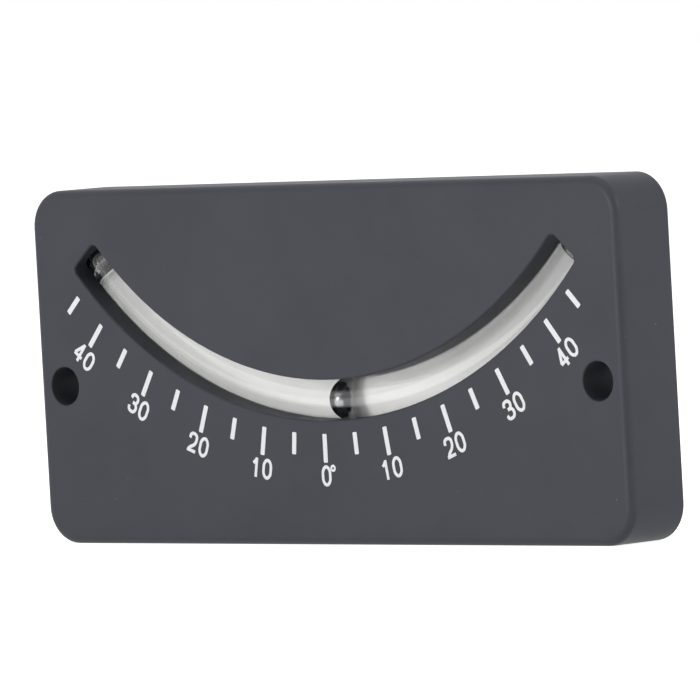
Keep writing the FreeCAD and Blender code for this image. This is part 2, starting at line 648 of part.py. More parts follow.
def make_tube_cushion(label, side):
    """A soft pad from the rear cover to the backing, hollowed to fit it."""
    body = new_arc_body(label, side, "cushion_spread_angle" if side else None)
    section = new_sketch(body, "cushion_section", plane="YZ_Plane")
    middle, half = number("tube_arc_radius"), number("cushion_half_width")
    radius, back = number("backing_outer + cushion_gap"), number("seat_y - tube_y")
    reach = math.asin(half / radius)
    circle = Part.Circle(Vector(0, -middle, 0), Vector(0, 0, 1), radius)
    arc = section.addGeometry(Part.ArcOfCircle(circle, -reach, reach))
    place_point(section, arc, CENTRE, "0", "-tube_arc_radius")
    constrain(section, "Radius", arc, formula="backing_outer + cushion_gap")
    corners = [section.getPoint(arc, END), Vector(back, -middle + half, 0),
               Vector(back, -middle - half, 0), section.getPoint(arc, START)]
    sides = [section.addGeometry(Part.LineSegment(*pair)) for pair in zip(corners, corners[1:])]
    outline = [arc, *sides]
    for line, follower in zip(outline, sides + [arc]):
        section.addConstraint(Sketcher.Constraint("Coincident", line, END, follower, START))
    for end, sign in ((START, "+"), (END, "-")):
        place_point(section, sides[1], end, "seat_y - tube_y",
                    f"-tube_arc_radius {sign} cushion_half_width")
    for line in (sides[0], sides[2]):
        section.addConstraint(Sketcher.Constraint("Horizontal", line))
    revolve(body, section, "cushion", (section, ["H_Axis"]), "2 * cushion_half_angle")
    return body


# Pieces: fasteners

def make_cover_screw(label, sign, level):
    """A countersunk screw with a cross recess. Its axis is Y, and its head is at the back."""
    body = new_body(label, x=sign + "screw_x", y="back_y - screw_sink", z=level)
    profile = new_sketch(body, "screw_profile", plane="XY_Plane")
    neck = "-(screw_head_rim + head_cone)"
    draw_polygon(profile, [("0", "0"), ("head_radius", "0"), ("head_radius", "-screw_head_rim"),
                           ("shank_radius", neck), ("shank_radius", "-(screw_length - screw_point)"),
                           ("0", "-screw_length")])
    revolve(body, profile, "screw", (profile, ["V_Axis"]))
    recess = new_sketch(body, "recess_outline")
    narrow, wide = "recess_width / 2", "recess_span / 2"
    corners = []
    for x_side, z_side in (("", ""), ("", "-"), ("-", "-"), ("-", "")):
        arm = [(narrow, wide), (narrow, narrow), (wide, narrow)]
        if x_side != z_side:
            arm.reverse()
        corners += [(x_side + x, z_side + z) for x, z in arm]
    draw_polygon(recess, corners)
    pocket(body, recess, "cross_recess", "recess_depth", backwards=False)
    return body


# The whole gauge

pieces = [make_front_housing(), make_rear_cover(), make_sight_tube(), make_white_backing(),
          make_damping_fluid(), make_indicator_ball()]
for name, turned in (("left", -1), ("right", 1)):
    pieces.append(make_end_plug(f"{name}_end_plug", turned))
    pieces.append(make_plug_ring(f"{name}_plug_ring", turned))
    pieces.append(make_end_sealant(f"{name}_end_sealant", turned))
for name, turned in CUSHIONS.items():
    pieces.append(make_tube_cushion(f"{name}_tube_cushion", turned))
for level, height in LEVELS.items():
    for name, sign in SIDES.items():
        pieces.append(make_cover_screw(f"cover_screw_{level}_{name}", sign, height))

doc.recompute()

for thing in doc.Objects:
    if {"Invalid", "Error"} & set(thing.State):
        raise RuntimeError(f"{thing.Label} failed: {thing.State}")
for piece in pieces:
    if piece.Shape.isNull() or not piece.Shape.isValid() or len(piece.Shape.Solids) != 1:
        raise RuntimeError(f"{piece.Label} is not one valid solid")

os.makedirs("parts", exist_ok=True)
for piece in pieces:
    piece.Shape.exportStep(f"parts/{piece.Label}.step")
    print(f"{piece.Label:26s} {piece.Shape.Volume:10.2f} mm3")
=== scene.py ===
# %% [markdown]
# # A ball inclinometer
#
# The real gauge is a moulded box with a curved glass tube behind a window slot. A steel ball rolls
# in the liquid inside the tube, and a white scale is printed below it. The CAD model already holds
# every solid part, so this script adds what CAD leaves out: the finish of each surface, the
# printed scale, the liquid that bends the light, the cement at the tube's ends, and a studio.

import json
import math

import bpy
from mathutils import Matrix, Vector


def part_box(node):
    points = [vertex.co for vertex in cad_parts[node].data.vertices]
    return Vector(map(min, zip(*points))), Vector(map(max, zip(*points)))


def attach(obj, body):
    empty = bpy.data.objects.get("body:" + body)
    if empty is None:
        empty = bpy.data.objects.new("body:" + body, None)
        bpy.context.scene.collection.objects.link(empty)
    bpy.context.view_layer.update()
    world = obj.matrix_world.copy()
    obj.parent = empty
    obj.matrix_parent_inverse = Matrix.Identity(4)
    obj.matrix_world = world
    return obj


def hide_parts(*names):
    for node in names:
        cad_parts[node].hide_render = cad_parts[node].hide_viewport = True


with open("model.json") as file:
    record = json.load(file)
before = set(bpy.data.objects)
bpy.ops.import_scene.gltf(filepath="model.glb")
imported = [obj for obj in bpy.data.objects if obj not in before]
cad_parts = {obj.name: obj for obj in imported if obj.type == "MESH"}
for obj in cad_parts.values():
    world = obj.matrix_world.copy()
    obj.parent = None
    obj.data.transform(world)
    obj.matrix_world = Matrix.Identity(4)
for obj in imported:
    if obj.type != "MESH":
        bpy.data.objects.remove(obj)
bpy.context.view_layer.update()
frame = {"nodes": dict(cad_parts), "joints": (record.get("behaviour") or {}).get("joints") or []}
print("CAD nodes:", len(frame["nodes"]))

# %% [markdown]
# ## Sizes to work with
#
# Blender works in metres here. The tube's arc, its thickness and the front face are read from the
# loaded model, so that what is added always fits it. What only the photograph shows, the print,
# has its own sizes.

# %% Read the arc and the front face
MM = 0.001

tube_low, tube_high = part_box("sight_tube")
ball_low, ball_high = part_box("indicator_ball")
front_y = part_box("front_housing")[0].y
tube_radius = (tube_high.y - tube_low.y) / 2
tube_y = (tube_high.y + tube_low.y) / 2
arc_centre = Vector(frame["joints"][0]["pos_m"])
arc_radius = arc_centre.z - tube_low.z - tube_radius
print(f"tube {2 * tube_radius / MM:.2f} mm thick on an arc of {arc_radius / MM:.2f} mm")
print(f"ball {(ball_high.z - ball_low.z) / MM:.2f} mm across")

# %% [markdown]
# ## The camera
#
# The photograph was taken from a good metre away with a long lens, so the picture is almost flat.
# The camera circles the point in the middle of the picture: azimuth and elevation say from where,
# and roll tips the camera about its own line of sight.

# %% Place the camera
VIEW_AIM = Vector((5.24, 1000 * front_y, 26.91)) * MM
VIEW_AZIMUTH = math.radians(43.741)
VIEW_ELEVATION = math.radians(2.607)
VIEW_ROLL = math.radians(-3.235)
VIEW_DISTANCE = 1.3553
LENS = 507.7

bpy.ops.object.select_all(action="DESELECT")
turn = (Matrix.Rotation(VIEW_AZIMUTH, 4, "Z")
        @ Matrix.Rotation(math.pi / 2 - VIEW_ELEVATION, 4, "X")
        @ Matrix.Rotation(VIEW_ROLL, 4, "Z"))
bpy.ops.object.camera_add()
camera = bpy.context.object
camera.name = "photo_camera"
camera.matrix_world = (Matrix.Translation(VIEW_AIM) @ turn
                       @ Matrix.Translation((0, 0, VIEW_DISTANCE)))
camera.data.lens = LENS
camera.data.clip_start = 0.01
camera.data.clip_end = 100
bpy.context.scene.camera = camera
bpy.context.scene.view_settings.view_transform = "Standard"

# %% [markdown]
# ## Small helpers for nodes
#
# A material is a tree of nodes. `add` makes one node and fills its inputs by name, and an input
# may be a number, a colour or the output of another node, which then gets a link. Most noise
# patterns stay in the middle of their range from 0 to 1, so a blend of two colours runs over that
# part alone.

# %% Helpers for node trees
COLOUR_A, COLOUR_B, COLOUR_RESULT = 6, 7, 2
MIDDLE = (0.3, 0.7)


def plug(tree, socket, value):
    """Give a socket a number or colour, or link it to another node's output."""
    if isinstance(value, bpy.types.NodeSocket):
        tree.links.new(value, socket)
    else:
        socket.default_value = value


def add(tree, kind, inputs=None, **settings):
    """Add a node. Settings are its own properties, inputs its sockets by name or number."""
    node = tree.nodes.new(kind)
    for name, value in settings.items():
        setattr(node, name, value)
    for name, value in (inputs or {}).items():
        plug(tree, node.inputs[name], value)
    return node


def math_node(tree, operation, *values, clamp=False):
    """A Math node's output."""
    node = add(tree, "ShaderNodeMath", dict(enumerate(values)), operation=operation,
               use_clamp=clamp)
    return node.outputs[0]


def remap(tree, value, low, high, to_low=0.0, to_high=1.0):
    """Stretch a value from one range to another, and keep it inside."""
    node = add(tree, "ShaderNodeMapRange", {"Value": value, "From Min": low, "From Max": high,
                                            "To Min": to_low, "To Max": to_high})
    return node.outputs["Result"]


def mix_colours(tree, factor, first, second):
    """Blend two colours by a factor."""
    node = add(tree, "ShaderNodeMix", data_type="RGBA")
    plug(tree, node.inputs["Factor"], factor)
    plug(tree, node.inputs[COLOUR_A], first)
    plug(tree, node.inputs[COLOUR_B], second)
    return node.outputs[COLOUR_RESULT]


def tinted(tree, pattern, dark, light, spread=MIDDLE):
    """Two colours blended by a pattern."""
    return mix_colours(tree, remap(tree, pattern, *spread), (*dark, 1), (*light, 1))


def object_place(tree):
    """The place on the surface, in metres from the object's origin."""
    return add(tree, "ShaderNodeTexCoord").outputs["Object"]


def noise(tree, place, size, detail=2.0, roughness=0.5):
    """A soft random pattern whose blobs are about as large as size, in metres."""
    node = add(tree, "ShaderNodeTexNoise", {"Vector": place, "Scale": 1 / size, "Detail": detail,
                                            "Roughness": roughness})
    return node.outputs["Fac"]


# %% [markdown]
# ## The studio
#
# The photograph shows the gauge on pure white. A world that is white only where the camera, a
# reflection or a glass surface looks at it gives that, and leaves the light on the gauge alone.
# The room in front of the gauge gives less light than the backdrop behind it. The front of the
# glass mirrors this room as a pale band along the middle of the tube. The part of the room where
# the photographer stands is dark, and the rounded front edge of the housing on the right mirrors
# that.

# %% Make the world
BACKDROP_LIGHT = 1.0
ROOM_REFLECTION = 0.85
ROOM_LIGHT = 0.42
ROOM_EDGES = (-0.25, 0.35)
DARK_AZIMUTH = math.radians(50)
DARK_SIDE = (math.sin(DARK_AZIMUTH), -math.cos(DARK_AZIMUTH), 0)
DARK_EDGES = (math.cos(math.radians(42)), math.cos(math.radians(20)))
DARK_SHARE = 0.1


def seen_directly(tree):
    """Two masks: rays from the camera, and rays off a mirror-like surface or through glass."""
    path = add(tree, "ShaderNodeLightPath").outputs
    glossy = math_node(tree, "MAXIMUM", path["Is Glossy Ray"], path["Is Transmission Ray"])
    return path["Is Camera Ray"], glossy


world = bpy.data.worlds.new("studio_world")
bpy.context.scene.world = world
world.use_nodes = True
sky = world.node_tree
sky.nodes.clear()
direction = add(sky, "ShaderNodeTexCoord").outputs["Generated"]
towards_back = add(sky, "ShaderNodeSeparateXYZ", {"Vector": direction}).outputs["Y"]
camera_ray, mirror_ray = seen_directly(sky)
towards_dark = add(sky, "ShaderNodeVectorMath", {0: direction, 1: DARK_SIDE},
                   operation="DOT_PRODUCT").outputs["Value"]
reflected = math_node(sky, "MULTIPLY",
                      remap(sky, towards_back, *ROOM_EDGES, ROOM_REFLECTION, BACKDROP_LIGHT),
                      remap(sky, towards_dark, *DARK_EDGES, 1.0, DARK_SHARE))
not_camera = add(sky, "ShaderNodeMix", {"Factor": mirror_ray, "A": ROOM_LIGHT, "B": reflected},
                 data_type="FLOAT").outputs["Result"]
strength = add(sky, "ShaderNodeMix", {"Factor": camera_ray, "A": not_camera, "B": BACKDROP_LIGHT},
               data_type="FLOAT").outputs["Result"]
background = add(sky, "ShaderNodeBackground", {"Color": (1, 1, 1, 1), "Strength": strength})
add(sky, "ShaderNodeOutputWorld", {"Surface": background.outputs[0]})

# %% [markdown]
# ## Floor
#
# The gauge stands on a pale sheet. The sheet is plain diffuse white, and a light of its own lifts
# it to the white of the backdrop. Only the camera and mirror-like surfaces see that light, so the
# lower edges shine as they do on a white table, but nothing is lit by it. The gauge's soft shadow
# still darkens the sheet.

# %% Make the floor
FLOOR_SIZE = 6.0
FLOOR_DROP = 0.02 * MM
FLOOR_WHITE = (0.8, 0.8, 0.8, 1)
FLOOR_LIFT = 0.85

bpy.ops.object.select_all(action="DESELECT")
bpy.ops.mesh.primitive_plane_add(size=FLOOR_SIZE, location=(0, 0, -FLOOR_DROP))
floor = bpy.context.object
floor.name = "floor_sheet"
bpy.ops.object.transform_apply(location=True)
sheet = bpy.data.materials.new("floor_sheet")
sheet.use_nodes = True
tree = sheet.node_tree
tree.nodes.clear()
lift = math_node(tree, "MULTIPLY", math_node(tree, "MAXIMUM", *seen_directly(tree)), FLOOR_LIFT)
paper = add(tree, "ShaderNodeBsdfDiffuse", {"Color": FLOOR_WHITE})
glow = add(tree, "ShaderNodeEmission", {"Strength": lift})
both = add(tree, "ShaderNodeAddShader", {0: paper.outputs[0], 1: glow.outputs[0]})
add(tree, "ShaderNodeOutputMaterial", {"Surface": both.outputs[0]})
floor.data.materials.append(sheet)

# %% [markdown]
# ## Lamps
#
# The photograph was lit softly from all round, a little more from the left: the ball's shadow
# falls to the right on the white strip. Each of these lamps does one job, and each was set by
# rendering it alone. The low ones shine straight into the slot, so that the strip is bright from
# end to end. The stronger one on the left makes that shadow, and the small one in front a bright
# point on the ball. The large ones up high give the top face its pale edge, and the one on the
# right opens up the side.

# %% Place the lamps
def add_lamp(name, azimuth, elevation, distance, width, height, watts):
    """A rectangular lamp that looks at the middle of the gauge."""
    a, e = math.radians(azimuth), math.radians(elevation)
    away = Vector((math.sin(a) * math.cos(e), -math.cos(a) * math.cos(e), math.sin(e)))
    target = Vector((0, front_y, arc_centre.z - arc_radius))
    bpy.ops.object.light_add(type="AREA", location=target + distance * away)
    lamp = bpy.context.object
    lamp.name = name
    lamp.data.shape = "RECTANGLE"
    lamp.data.size, lamp.data.size_y = width, height
    lamp.data.energy = watts
    lamp.rotation_mode = "QUATERNION"
    lamp.rotation_quaternion = away.to_track_quat("Z", "Y")


bpy.ops.object.select_all(action="DESELECT")
add_lamp("high_left", azimuth=-45, elevation=50, distance=1.5, width=1.2, height=1.0, watts=0.6)
add_lamp("low_left", azimuth=-15, elevation=8, distance=1.2, width=0.35, height=0.35, watts=5.6)
add_lamp("low_front", azimuth=8, elevation=13, distance=1.2, width=0.15, height=0.15, watts=1.6)
add_lamp("right_side", azimuth=104, elevation=24, distance=1.2, width=0.5, height=0.5, watts=6)
add_lamp("overhead", azimuth=0, elevation=78, distance=1.5, width=1.2, height=1.2, watts=4)

# %% [markdown]
# ## Patterns that several finishes share
#
# Moulded plastic, rubber and metal all carry a fine grain, a few specks of dust and uneven gloss.
# Each of these is a node group, made once and used by each material with its own values. A group
# hands over only heights, masks and values. The shader itself stays in the material.

# %% A helper for node groups
def new_group(name, inputs, outputs):
    """A shader node group with number inputs and outputs, and the place on the surface."""
    group = bpy.data.node_groups.new(name, "ShaderNodeTree")
    group.interface.new_socket("Place", in_out="INPUT", socket_type="NodeSocketVector")
    for label, value in inputs.items():
        socket = group.interface.new_socket(label, in_out="INPUT", socket_type="NodeSocketFloat")
        socket.default_value = value
    for label in outputs:
        group.interface.new_socket(label, in_out="OUTPUT", socket_type="NodeSocketFloat")
    return group, group.nodes.new("NodeGroupInput").outputs, group.nodes.new("NodeGroupOutput")


def use_group(tree, group, place, **values):
    """Place a group in a material. Its inputs are named in lower case, with underscores."""
    node = add(tree, "ShaderNodeGroup", node_tree=group)
    plug(tree, node.inputs["Place"], place)
    for name, value in values.items():
        plug(tree, node.inputs[name.replace("_", " ").capitalize()], value)
    return node.outputs


# %% Moulded grain
CELL_SHARE = 0.6
MOTTLE_SIZE = 1 / 90

moulded_grain, given, result = new_group("moulded_grain", {"Grain size": 0.3 * MM},
                                         ["Height", "Mottle"])
density = math_node(moulded_grain, "DIVIDE", 1.0, given["Grain size"])
fine = add(moulded_grain, "ShaderNodeTexNoise",
           {"Vector": given["Place"], "Scale": density, "Detail": 3.0, "Roughness": 0.6})
cells = add(moulded_grain, "ShaderNodeTexVoronoi",
            {"Vector": given["Place"], "Scale": density, "Randomness": 1.0},
            feature="SMOOTH_F1")
height = math_node(moulded_grain, "ADD", fine.outputs["Fac"],
                   math_node(moulded_grain, "MULTIPLY", cells.outputs["Distance"], CELL_SHARE))
broad = add(moulded_grain, "ShaderNodeTexNoise",
            {"Vector": given["Place"], "Scale": 1 / MOTTLE_SIZE, "Detail": 4.0, "Roughness": 0.55})
plug(moulded_grain, result.inputs["Height"], height)
plug(moulded_grain, result.inputs["Mottle"], broad.outputs["Fac"])

# %% Dust specks
DUSTY_PATCH_SIZE = 1 / 60
DUSTY_PATCHES = (0.45, 0.7)
SPECK_SHARPNESS = 40.0

dust_specks, given, result = new_group("dust_specks", {"Speck size": 2 * MM, "Amount": 0.06},
                                       ["Mask"])
density = math_node(dust_specks, "DIVIDE", 1.0, given["Speck size"])
spots = add(dust_specks, "ShaderNodeTexVoronoi", {"Vector": given["Place"], "Scale": density})
patch = add(dust_specks, "ShaderNodeTexNoise",
            {"Vector": given["Place"], "Scale": 1 / DUSTY_PATCH_SIZE, "Detail": 1.0})
reach = math_node(dust_specks, "MULTIPLY", given["Amount"],
                  remap(dust_specks, patch.outputs["Fac"], *DUSTY_PATCHES))
inside = math_node(dust_specks, "SUBTRACT", reach, spots.outputs["Distance"])
plug(dust_specks, result.inputs["Mask"],
     math_node(dust_specks, "MULTIPLY", inside, SPECK_SHARPNESS, clamp=True))

# %% [markdown]
# ## The moulded housing
#
# The housing is dark slate grey plastic with a satin surface. Seen close it has a fine grain from
# its mould, slightly uneven colour, and a few pale specks of dust. The grain goes into a Bump
# node, and dust makes its spots paler and duller.

# %% Finish helpers
DUST_COLOUR = (0.42, 0.42, 0.42, 1)
DUST_COVER = 0.35


def new_finish(name):
    """A new material with a Principled shader and nothing linked to it yet."""
    finish = bpy.data.materials.new(name)
    finish.use_nodes = True
    tree = finish.node_tree
    tree.nodes.clear()
    shader = tree.nodes.new("ShaderNodeBsdfPrincipled")
    add(tree, "ShaderNodeOutputMaterial", {"Surface": shader.outputs["BSDF"]})
    return finish, tree, shader


def coat_node(name, finish):
    """Give a CAD node's surface a finish, in place of the plain one that it came with."""
    node = frame["nodes"][name]
    for slot in node.material_slots:
        slot.material = finish


def bump(tree, height, strength, depth):
    """A normal from a height pattern. Depth is in metres."""
    return add(tree, "ShaderNodeBump", {"Height": height, "Strength": strength,
                                        "Distance": depth}).outputs["Normal"]


def moulded(name, dark, light, roughness, gloss, grain_size, grain_depth, dust):
    """A moulded plastic or rubber finish."""
    finish, tree, shader = new_finish(name)
    shader.inputs["Specular IOR Level"].default_value = gloss
    place = object_place(tree)
    grain = use_group(tree, moulded_grain, place, grain_size=grain_size)
    specks = use_group(tree, dust_specks, place, amount=dust)["Mask"]
    tint = tinted(tree, grain["Mottle"], dark, light)
    plug(tree, shader.inputs["Base Color"],
         mix_colours(tree, math_node(tree, "MULTIPLY", specks, DUST_COVER), tint, DUST_COLOUR))
    rough = remap(tree, grain["Mottle"], 0.2, 0.8, roughness - 0.04, roughness + 0.05)
    plug(tree, shader.inputs["Roughness"], math_node(tree, "ADD", rough, specks, clamp=True))
    plug(tree, shader.inputs["Normal"],
         bump(tree, grain["Height"], strength=0.35, depth=grain_depth))
    return finish


# %% Finish the housing and cover
coat_node("front_housing", moulded("slate_plastic", dark=(0.040, 0.042, 0.053),
                                   light=(0.047, 0.049, 0.061), roughness=0.46, gloss=0.2,
                                   grain_size=0.3 * MM, grain_depth=0.012 * MM, dust=0.06))
coat_node("rear_cover", moulded("cover_plastic", dark=(0.034, 0.036, 0.041),
                                light=(0.040, 0.042, 0.048), roughness=0.58, gloss=0.2,
                                grain_size=0.4 * MM, grain_depth=0.02 * MM, dust=0.05))

# %% [markdown]
# ## Rubber and sealant
#
# Cushions, O-rings and sealant are soft and dark. They use the same moulded finish with a coarser
# grain and less gloss.

# %% Finish the soft parts
SIDES = ("left", "right")

cell_rubber = moulded("cell_rubber", dark=(0.016, 0.016, 0.018), light=(0.024, 0.024, 0.026),
                      roughness=0.85, gloss=0.3, grain_size=0.5 * MM, grain_depth=0.06 * MM,
                      dust=0.08)
for place_name in ("left", "centre", "right"):
    coat_node(place_name + "_tube_cushion", cell_rubber)
ring_rubber = moulded("ring_rubber", dark=(0.010, 0.010, 0.010), light=(0.015, 0.015, 0.015),
                      roughness=0.5, gloss=0.5, grain_size=0.2 * MM, grain_depth=0.004 * MM,
                      dust=0.0)
sealant = moulded("cured_sealant", dark=(0.012, 0.012, 0.013), light=(0.019, 0.019, 0.020),
                  roughness=0.36, gloss=0.5, grain_size=0.9 * MM, grain_depth=0.05 * MM, dust=0.03)
for side in SIDES:
    coat_node(side + "_plug_ring", ring_rubber)
    coat_node(side + "_end_sealant", sealant)

# %% [markdown]
# ## The white strip
#
# A half round white strip hugs the back of the tube, and gives the ball a bright ground. It is
# plain white plastic, hardly glossy, with faint flow marks along its length.

# %% Finish the white strip
def white_strip_finish():
    """Matt white with faint cloudy marks."""
    finish, tree, shader = new_finish("white_strip")
    place = object_place(tree)
    cloud = noise(tree, place, 6 * MM, detail=3.0)
    plug(tree, shader.inputs["Base Color"],
         tinted(tree, cloud, dark=(0.86, 0.86, 0.855), light=(0.91, 0.91, 0.905)))
    plug(tree, shader.inputs["Roughness"], remap(tree, cloud, *MIDDLE, 0.42, 0.52))
    grain = use_group(tree, moulded_grain, place, grain_size=0.25 * MM)
    plug(tree, shader.inputs["Normal"],
         bump(tree, grain["Height"], strength=0.2, depth=0.006 * MM))
    return finish


coat_node("white_backing", white_strip_finish())

# %% [markdown]
# ## The steel ball
#
# A bearing ball is polished steel. It is almost a mirror, so its look comes from what is round it.
# A very fine haze, and a few lapping marks that shift the gloss, keep it from being a perfect
# mirror.

# %% Finish the ball and the screws
def steel(name, colour, roughness, mark_size, mark_depth):
    """Bare metal with fine marks."""
    finish, tree, shader = new_finish(name)
    place = object_place(tree)
    haze = noise(tree, place, mark_size, detail=4.0, roughness=0.65)
    shader.inputs["Metallic"].default_value = 1.0
    plug(tree, shader.inputs["Base Color"],
         tinted(tree, haze, colour, [0.9 * part for part in colour], spread=(0.35, 0.65)))
    plug(tree, shader.inputs["Roughness"],
         remap(tree, haze, *MIDDLE, 0.8 * roughness, 1.25 * roughness))
    plug(tree, shader.inputs["Normal"], bump(tree, haze, strength=0.2, depth=mark_depth))
    return finish


coat_node("indicator_ball", steel("polished_steel", colour=(0.30, 0.305, 0.31), roughness=0.02,
                                  mark_size=0.4 * MM, mark_depth=0.0004 * MM))
plated = steel("plated_steel", colour=(0.50, 0.50, 0.49), roughness=0.3,
               mark_size=0.15 * MM, mark_depth=0.006 * MM)
for level in ("lower", "upper"):
    for side in SIDES:
        coat_node(f"cover_screw_{level}_{side}", plated)

# %% [markdown]
# ## Glass and liquid
#
# Light bends where it enters the glass, where it goes on into the liquid, and again on its way
# back. That is what makes the ball look taller than it is. Each clear part is a Principled shader
# with full transmission. For shadow rays and diffuse rays alone it is mixed with a Transparent
# shader, because otherwise hardly any light would reach the strip behind the tube.

# %% Clear finishes
def clear(name, colour, ior, roughness, level, wave_size, wave_depth):
    """A clear finish that lets lamps through. Faint waves bend its reflections a little."""
    finish, tree, shader = new_finish(name)
    place = object_place(tree)
    waves = noise(tree, place, wave_size, detail=2.0)
    shader.inputs["Transmission Weight"].default_value = 1.0
    shader.inputs["IOR"].default_value = ior
    shader.inputs["Specular IOR Level"].default_value = level
    plug(tree, shader.inputs["Base Color"],
         tinted(tree, waves, colour, [0.99 * part for part in colour]))
    plug(tree, shader.inputs["Roughness"],
         remap(tree, waves, *MIDDLE, roughness, roughness + 0.01))
    plug(tree, shader.inputs["Normal"], bump(tree, waves, strength=0.1, depth=wave_depth))
    open_way = add(tree, "ShaderNodeBsdfTransparent", {"Color": (*colour, 1)})
    path = add(tree, "ShaderNodeLightPath").outputs
    light_ray = math_node(tree, "MAXIMUM", path["Is Shadow Ray"], path["Is Diffuse Ray"])
    both = add(tree, "ShaderNodeMixShader", {0: light_ray, 1: shader.outputs["BSDF"],
                                             2: open_way.outputs[0]})
    output = next(node for node in tree.nodes if node.type == "OUTPUT_MATERIAL")
    tree.links.new(both.outputs[0], output.inputs["Surface"])
    return finish


coat_node("sight_tube", clear("tube_glass", colour=(0.998, 0.998, 0.997), ior=1.5, roughness=0.0,
                              level=0.5, wave_size=8 * MM, wave_depth=0.002 * MM))
acrylic = clear("clear_acrylic", colour=(0.60, 0.63, 0.65), ior=1.49, roughness=0.0, level=0.5,
                wave_size=1.5 * MM, wave_depth=0.002 * MM)
for side in SIDES:
    coat_node(side + "_end_plug", acrylic)

# %% [markdown]
# ## The liquid in the tube
#
# The CAD liquid has a hollow where the ball rests, which would show as a bubble when the ball
# rolls away. This piece is the whole filling from plug to plug instead. A disc is stood up at the
# left plug and spun along the arc. It reaches a hair into the glass, so that no layer of air is
# left between them.

# %% Make the liquid
LIQUID_OVERLAP = 0.03 * MM
LIQUID_STEPS = 120
LIQUID_CORNERS = 64
SMOOTH_ANGLE = math.radians(40)


def select_only(thing):
    """Select one object and make it the active one."""
    bpy.ops.object.select_all(action="DESELECT")
    thing.select_set(True)
    bpy.context.view_layer.objects.active = thing


def turn_mesh(thing, centre, angle, axis):
    """Turn a piece about a point in its mesh, so that the object stays at the origin."""
    thing.data.transform(Matrix.Translation(centre) @ Matrix.Rotation(angle, 4, axis)
                         @ Matrix.Translation(-centre))


def turn_about_arc(thing, angle):
    """Move a piece along the arc by an angle. A positive one goes to the left."""
    turn_mesh(thing, arc_centre, angle, "Y")


liquid_low, liquid_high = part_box("damping_fluid")
liquid_radius = (liquid_high.y - liquid_low.y) / 2
liquid_arc = math.asin(liquid_high.x / (arc_radius + liquid_radius)) + LIQUID_OVERLAP / arc_radius

bpy.ops.object.select_all(action="DESELECT")
bpy.ops.mesh.primitive_circle_add(vertices=LIQUID_CORNERS, radius=liquid_radius + LIQUID_OVERLAP,
                                  fill_type="NGON",
                                  location=(0, tube_y, arc_centre.z - arc_radius),
                                  rotation=(0, math.pi / 2, 0))
liquid = bpy.context.object
liquid.name = "tube_liquid"
bpy.ops.object.transform_apply(location=True, rotation=True)
turn_about_arc(liquid, liquid_arc)
bpy.ops.object.mode_set(mode="EDIT")
bpy.ops.mesh.select_all(action="SELECT")
bpy.ops.mesh.spin(steps=LIQUID_STEPS, angle=2 * liquid_arc, center=arc_centre, axis=(0, 1, 0))
bpy.ops.mesh.select_all(action="SELECT")
bpy.ops.mesh.normals_make_consistent(inside=False)
bpy.ops.object.mode_set(mode="OBJECT")
bpy.ops.object.shade_smooth_by_angle(angle=SMOOTH_ANGLE)
print(f"liquid to {math.degrees(liquid_arc):.1f} degrees, {len(liquid.data.polygons)} faces")

liquid.data.materials.append(clear("damping_liquid", colour=(0.998, 0.998, 0.996), ior=1.43,
                                   roughness=0.0, level=0.0, wave_size=10 * MM,
                                   wave_depth=0.0005 * MM))
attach(liquid, "gauge")
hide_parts("damping_fluid")

# %% [markdown]
# ## Cement and painted highlight at the tube's ends
#
# A bead of cement lies at each end of the bore. It is nearly white as a painted highlight: it
# stands in for the thin bright curve that shows there. It has run half round the back of the bore,
# level with the end of the white strip. A small disc is drawn at the wall, spun half round the
# tube's axis and drawn out along it.
# One bead is modelled at the lowest point of the arc, and its two copies are turned to the ends.

# %% Finish for the cement, painted nearly white as a highlight
def cement_finish():
    """Cured cement, glossy and slightly cloudy, nearly white as a painted highlight for the bright
    curve.
    """
    finish, tree, shader = new_finish("cement_painted_highlight")
    place = object_place(tree)
    cloud = noise(tree, place, 0.4 * MM, detail=3.0)
    # Nearly white: a painted highlight that stands in for the bright curve at the tube's end.
    plug(tree, shader.inputs["Base Color"],
         tinted(tree, cloud, dark=(0.90, 0.91, 0.91), light=(0.95, 0.96, 0.96)))
    plug(tree, shader.inputs["Roughness"], remap(tree, cloud, *MIDDLE, 0.12, 0.25))
    plug(tree, shader.inputs["Normal"], bump(tree, cloud, strength=0.3, depth=0.01 * MM))
    return finish


# %% Model a bead of cement
CEMENT_WIDTH = 0.24 * MM
CEMENT_STRETCH = 1.5
CEMENT_GAP = 0.01 * MM
CEMENT_CORNERS = 12
CEMENT_STEPS = 40
CEMENT_SPAN = math.radians(190)
CEMENT_SMOOTH_ANGLE = math.radians(50)


def make_bead():
    """Half a ring of cement at the back of the bore, at the lowest point of the arc."""
    axis_point = Vector((0, tube_y, arc_centre.z - arc_radius))
    at_wall = axis_point - Vector((0, 0, liquid_radius - CEMENT_GAP - CEMENT_WIDTH / 2))
    bpy.ops.object.select_all(action="DESELECT")
    bpy.ops.mesh.primitive_circle_add(vertices=CEMENT_CORNERS, radius=CEMENT_WIDTH / 2,
                                      fill_type="NGON", location=at_wall,
                                      rotation=(math.pi / 2, 0, 0))
    bead = bpy.context.object
    bead.name = "plug_cement_highlight"
    bpy.ops.object.transform_apply(location=True, rotation=True)
    turn_mesh(bead, axis_point, (CEMENT_SPAN - math.pi) / 2, "X")
    bpy.ops.object.mode_set(mode="EDIT")
    bpy.ops.mesh.select_all(action="SELECT")
    bpy.ops.mesh.spin(steps=CEMENT_STEPS, angle=-CEMENT_SPAN, center=axis_point,
                      axis=(1, 0, 0))
    bpy.ops.mesh.select_all(action="SELECT")
    bpy.ops.transform.resize(value=(CEMENT_STRETCH, 1, 1), center_override=axis_point)
    bpy.ops.mesh.normals_make_consistent(inside=False)
    bpy.ops.object.mode_set(mode="OBJECT")
    bpy.ops.object.shade_smooth_by_angle(angle=CEMENT_SMOOTH_ANGLE)
    return bead


bead = make_bead()
print("faces of a bead:", len(bead.data.polygons))

# %% Put a bead at each end
CEMENT_INSET = 0.24 * MM


